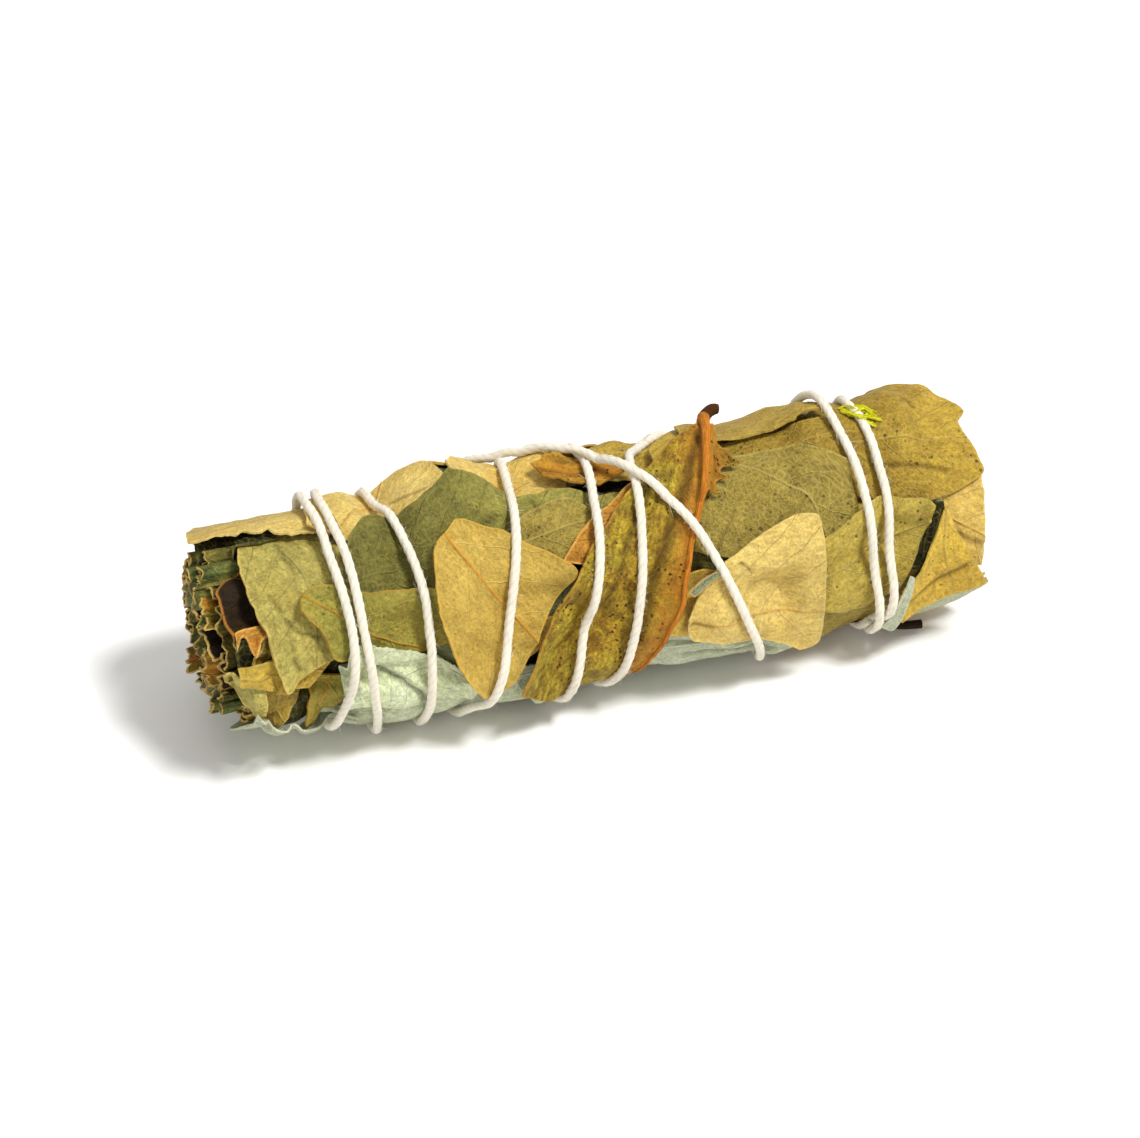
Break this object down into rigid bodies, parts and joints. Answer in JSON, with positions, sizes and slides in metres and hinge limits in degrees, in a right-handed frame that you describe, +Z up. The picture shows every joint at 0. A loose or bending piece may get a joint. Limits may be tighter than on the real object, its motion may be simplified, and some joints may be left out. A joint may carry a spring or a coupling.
{
  "type": "sage smudge stick",
  "caption": "Bundle of dried sage sprigs wrapped in broad dried leaves and bound with knotted cotton twine, cut at one end and leafy at the other, lying on its flattened underside.",
  "frame": {"origin": "centre of the bounding box's bottom, on the surface that the bundle rests on", "axes": "+X along the bundle from its cut end to its leafy tip, +Z up, +Y towards its knotted back"},
  "size_m": [0.1128, 0.0388, 0.0354],
  "materials": {
    "sage_leaf": "velvety",
    "olive_leaf": "matt, dry, wrinkled",
    "dark_green_leaf": "leathery, faint sheen",
    "gold_leaf": "matt, dry, with fine veins",
    "tan_leaf": "matt, dry, wrinkled",
    "grey_olive_leaf": "matt, dry, dusty",
    "brown_leaf": "faint sheen, speckled, with an orange midrib",
    "pale_sage_leaf": "matt, finely downy",
    "grey_green_leaf": "matt, dry, finely downy",
    "dark_brown_leaf": "matt, curled and dark",
    "pale_gold_leaf": "matt, dry, paler along its folds",
    "twine": "soft twisted cotton"
  },
  "bodies": {
    "root": {"sage_sprig_1": "sage_leaf", "sage_sprig_2": "sage_leaf", "sage_sprig_3": "sage_leaf", "sage_sprig_4": "sage_leaf", "sage_sprig_5": "sage_leaf", "sage_sprig_6": "sage_leaf", "sage_sprig_7": "sage_leaf", "inner_leaf_1": "sage_leaf", "inner_leaf_2": "sage_leaf", "inner_leaf_3": "sage_leaf", "inner_leaf_4": "sage_leaf", "inner_leaf_5": "sage_leaf", "inner_leaf_6": "sage_leaf", "inner_leaf_7": "sage_leaf", "inner_leaf_8": "sage_leaf", "back_leaf_1": "olive_leaf", "back_leaf_2": "dark_green_leaf", "back_leaf_3": "gold_leaf", "back_leaf_4": "tan_leaf", "back_leaf_5": "grey_olive_leaf", "back_leaf_6": "tan_leaf", "back_leaf_7": "brown_leaf", "bottom_leaf_1": "pale_sage_leaf", "bottom_leaf_2": "olive_leaf", "bottom_leaf_3": "tan_leaf", "bottom_leaf_4": "grey_green_leaf", "bottom_leaf_5": "pale_sage_leaf", "bottom_leaf_6": "grey_olive_leaf", "cup_leaf": "dark_brown_leaf", "folded_leaf": "tan_leaf", "top_end_leaf": "tan_leaf", "end_leaf": "grey_green_leaf", "top_leaf_1": "pale_gold_leaf", "top_leaf_2": "pale_gold_leaf", "dark_leaf": "dark_green_leaf", "ragged_leaf": "brown_leaf", "olive_leaf_1": "olive_leaf", "spotted_leaf": "grey_olive_leaf", "right_leaf_1": "grey_olive_leaf", "right_leaf_2": "tan_leaf", "right_leaf_3": "tan_leaf", "right_leaf_4": "tan_leaf", "bottom_strip_1": "pale_sage_leaf", "strip_leaf": "brown_leaf", "small_leaf": "gold_leaf", "pale_leaf": "pale_sage_leaf", "olive_leaf_2": "olive_leaf", "right_end_leaf": "pale_gold_leaf", "lower_flap": "gold_leaf", "gold_leaf": "gold_leaf", "right_gold_leaf": "gold_leaf", "corner_leaf": "tan_leaf", "brown_leaf": "brown_leaf", "twine": "twine"}
  },
  "joints": []
}
